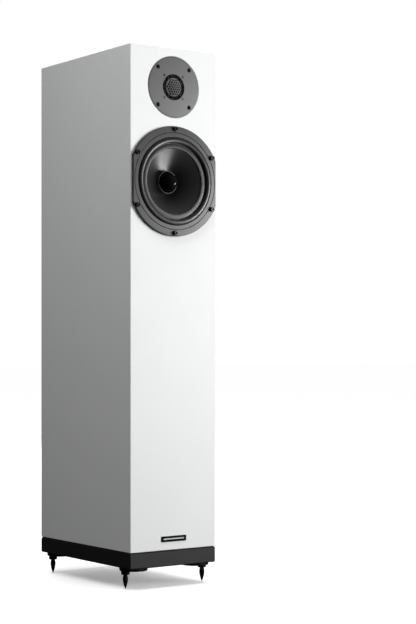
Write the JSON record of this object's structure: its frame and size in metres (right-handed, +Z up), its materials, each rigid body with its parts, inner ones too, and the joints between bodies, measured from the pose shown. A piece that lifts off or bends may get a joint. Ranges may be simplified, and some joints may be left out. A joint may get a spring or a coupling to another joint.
{
  "type": "floorstanding speaker",
  "caption": "Slim floorstanding two-way loudspeaker: white cabinet, flush round tweeter over a trimmed woofer, rear slot port, black plinth on adjustable spikes.",
  "frame": {"origin": "on the floor under the middle of the object's box, where the spike tips stand", "axes": "+Z up, front faces -Y, +X to the right seen from the front"},
  "size_m": [0.18, 0.343, 0.9408],
  "materials": {
    "cabinet_lacquer": "satin white lacquer over fibreboard",
    "raw_board": "raw fibreboard",
    "felt": "needled felt",
    "badge_black": "gloss",
    "plinth_black": "satin black lacquer over fibreboard",
    "driver_frame": "satin dark grey powder coat",
    "surround_rubber": "matt",
    "cone_polymer": "soft sheen",
    "plug_black": "polished",
    "spider_cloth": "resin-stiffened cloth",
    "copper": "enamelled wire",
    "plated_steel": "plated",
    "ferrite": "ground",
    "tweeter_plate": "fine textured satin dark grey",
    "guard_steel": "black woven steel",
    "dome_cloth": "coated cloth",
    "moulded_black": "moulded",
    "board_green": "solder mask",
    "wire_jacket": "smooth",
    "post_metal": "plated",
    "knob_black": "moulded",
    "knob_red": "moulded",
    "black_steel": "gloss black"
  },
  "bodies": {
    "cabinet": {"front_baffle": "cabinet_lacquer", "back_panel": "cabinet_lacquer", "left_side_panel": "cabinet_lacquer", "right_side_panel": "cabinet_lacquer", "top_panel": "cabinet_lacquer", "bottom_panel": "cabinet_lacquer", "cabinet_brace": "raw_board", "damping_pad": "felt", "badge_plate": "badge_black", "plinth": "plinth_black", "woofer_chassis": "driver_frame", "woofer_surround": "surround_rubber", "woofer_phase_plug": "plug_black", "woofer_spider": "spider_cloth", "woofer_front_plate": "plated_steel", "woofer_magnet": "ferrite", "woofer_pole": "plated_steel", "tweeter_faceplate": "tweeter_plate", "tweeter_guard": "guard_steel", "tweeter_surround": "dome_cloth", "tweeter_motor": "plated_steel", "tweeter_rear_chamber": "moulded_black", "terminal_plate": "moulded_black", "port_duct": "moulded_black", "crossover_board": "board_green", "crossover_inductor": "copper", "crossover_capacitor": "moulded_black", "woofer_lead": "wire_jacket", "tweeter_lead": "wire_jacket", "binding_post_negative": "post_metal", "binding_post_positive": "post_metal", "woofer_screw_1": "black_steel", "woofer_screw_2": "black_steel", "woofer_screw_3": "black_steel", "woofer_screw_4": "black_steel", "woofer_screw_5": "black_steel", "woofer_screw_6": "black_steel", "tweeter_screw_1": "black_steel", "tweeter_screw_2": "black_steel", "tweeter_screw_3": "black_steel", "tweeter_screw_4": "black_steel", "foot_disc_front_left": "black_steel", "foot_disc_front_right": "black_steel", "foot_disc_rear_left": "black_steel", "foot_disc_rear_right": "black_steel"},
    "woofer_moving_part": {"woofer_cone": "cone_polymer", "woofer_voice_coil": "copper"},
    "tweeter_moving_part": {"tweeter_dome": "dome_cloth"},
    "lock_nut_front_left": {"lock_nut_front_left": "black_steel"},
    "spike_front_left": {"spike_front_left": "black_steel"},
    "lock_nut_front_right": {"lock_nut_front_right": "black_steel"},
    "spike_front_right": {"spike_front_right": "black_steel"},
    "lock_nut_rear_left": {"lock_nut_rear_left": "black_steel"},
    "spike_rear_left": {"spike_rear_left": "black_steel"},
    "lock_nut_rear_right": {"lock_nut_rear_right": "black_steel"},
    "spike_rear_right": {"spike_rear_right": "black_steel"},
    "clamp_washer_negative": {"clamp_washer_negative": "post_metal"},
    "post_knob_negative": {"post_knob_negative": "knob_black"},
    "clamp_washer_positive": {"clamp_washer_positive": "post_metal"},
    "post_knob_positive": {"post_knob_positive": "knob_red"}
  },
  "joints": [
    {"name": "woofer_travel", "type": "slide", "parent": "cabinet", "child": "woofer_moving_part", "axis": [0, -1, 0], "range_m": [-0.005, 0.005], "stiffness_N_per_m": 900, "deforming": ["woofer_surround", "woofer_spider"]},
    {"name": "tweeter_travel", "type": "slide", "parent": "cabinet", "child": "tweeter_moving_part", "axis": [0, -1, 0], "range_m": [-0.0003, 0.0003], "stiffness_N_per_m": 2500, "deforming": ["tweeter_surround"]},
    {"name": "spike_height_front_left", "type": "slide", "parent": "cabinet", "child": "lock_nut_front_left", "axis": [0, 0, -1], "range_m": [0, 0.01]},
    {"name": "spike_turn_front_left", "type": "hinge", "parent": "lock_nut_front_left", "child": "spike_front_left", "pos_m": [-0.0814, -0.1327, 0.028], "axis": [0, 0, -1], "range_deg": [0, 2880]},
    {"name": "spike_height_front_right", "type": "slide", "parent": "cabinet", "child": "lock_nut_front_right", "axis": [0, 0, -1], "range_m": [0, 0.01]},
    {"name": "spike_turn_front_right", "type": "hinge", "parent": "lock_nut_front_right", "child": "spike_front_right", "pos_m": [0.0814, -0.1327, 0.028], "axis": [0, 0, -1], "range_deg": [0, 2880]},
    {"name": "spike_height_rear_left", "type": "slide", "parent": "cabinet", "child": "lock_nut_rear_left", "axis": [0, 0, -1], "range_m": [0, 0.01]},
    {"name": "spike_turn_rear_left", "type": "hinge", "parent": "lock_nut_rear_left", "child": "spike_rear_left", "pos_m": [-0.0814, 0.1143, 0.028], "axis": [0, 0, -1], "range_deg": [0, 2880]},
    {"name": "spike_height_rear_right", "type": "slide", "parent": "cabinet", "child": "lock_nut_rear_right", "axis": [0, 0, -1], "range_m": [0, 0.01]},
    {"name": "spike_turn_rear_right", "type": "hinge", "parent": "lock_nut_rear_right", "child": "spike_rear_right", "pos_m": [0.0814, 0.1143, 0.028], "axis": [0, 0, -1], "range_deg": [0, 2880]},
    {"name": "knob_travel_negative", "type": "slide", "parent": "cabinet", "child": "clamp_washer_negative", "axis": [0, 1, 0], "range_m": [0, 0.004]},
    {"name": "knob_turn_negative", "type": "hinge", "parent": "clamp_washer_negative", "child": "post_knob_negative", "pos_m": [-0.019, 0.1566, 0.1958], "axis": [0, -1, 0], "range_deg": [0, 1440]},
    {"name": "knob_travel_positive", "type": "slide", "parent": "cabinet", "child": "clamp_washer_positive", "axis": [0, 1, 0], "range_m": [0, 0.004]},
    {"name": "knob_turn_positive", "type": "hinge", "parent": "clamp_washer_positive", "child": "post_knob_positive", "pos_m": [0.019, 0.1566, 0.1958], "axis": [0, -1, 0], "range_deg": [0, 1440]}
  ],
  "couplings": [
    {"joint": "spike_turn_front_left", "follows": "spike_height_front_left", "rad_per_m": 5026.5},
    {"joint": "spike_turn_front_right", "follows": "spike_height_front_right", "rad_per_m": 5026.5},
    {"joint": "spike_turn_rear_left", "follows": "spike_height_rear_left", "rad_per_m": 5026.5},
    {"joint": "spike_turn_rear_right", "follows": "spike_height_rear_right", "rad_per_m": 5026.5},
    {"joint": "knob_turn_negative", "follows": "knob_travel_negative", "rad_per_m": 6283.2},
    {"joint": "knob_turn_positive", "follows": "knob_travel_positive", "rad_per_m": 6283.2}
  ]
}
